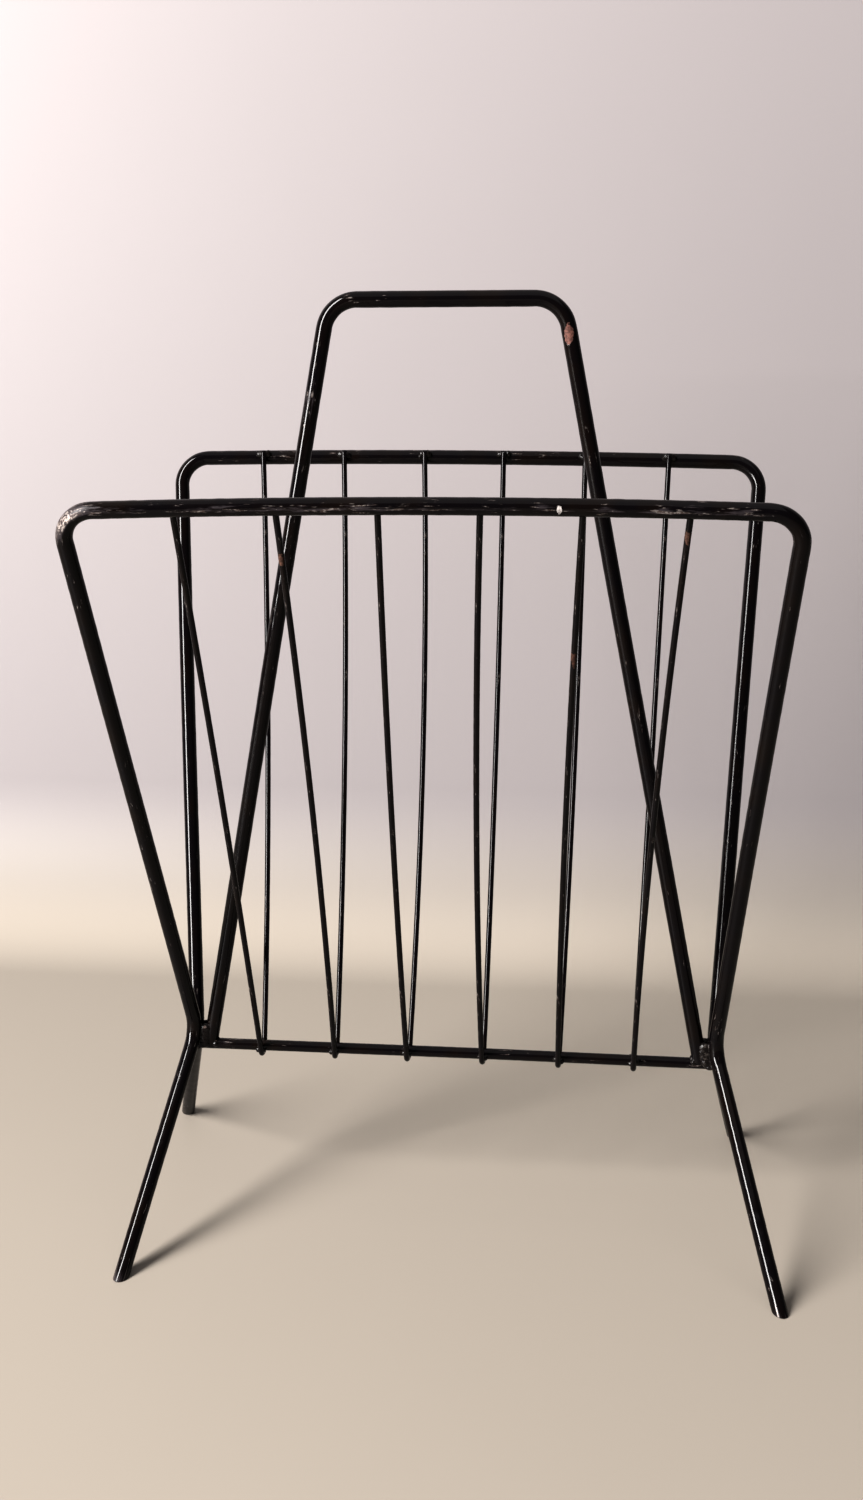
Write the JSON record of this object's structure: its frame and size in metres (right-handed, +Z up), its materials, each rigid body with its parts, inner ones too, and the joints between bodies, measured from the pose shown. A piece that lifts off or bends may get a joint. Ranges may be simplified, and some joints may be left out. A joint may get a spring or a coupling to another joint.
{
  "type": "newspaper rack",
  "caption": "Free-standing newspaper rack of welded black steel rod, with bent frames set back to back, V-shaped wires that form a front and a rear pocket, and a tall carrying handle.",
  "frame": {"origin": "on the floor, at the centre of the footprint, midway between the four feet", "axes": "+X to the right along the top rails, +Y from the front pocket to the rear pocket, +Z up"},
  "size_m": [0.3604, 0.234, 0.5005],
  "materials": {
    "enamel": "glossy black enamel, worn to grey metal at the corners and along the front rail",
    "weld_metal": "rough weld beads under black enamel, worn to grey"
  },
  "bodies": {
    "root": {"front_frame": "enamel", "rear_frame": "enamel", "carry_handle": "enamel", "base_rail": "enamel", "wire_1": "enamel", "wire_2": "enamel", "wire_3": "enamel", "wire_4": "enamel", "wire_5": "enamel", "wire_6": "enamel", "left_waist_weld": "weld_metal", "right_waist_weld": "weld_metal", "front_rail_welds": "weld_metal", "rear_rail_welds": "weld_metal", "base_rail_welds": "weld_metal"}
  },
  "joints": []
}
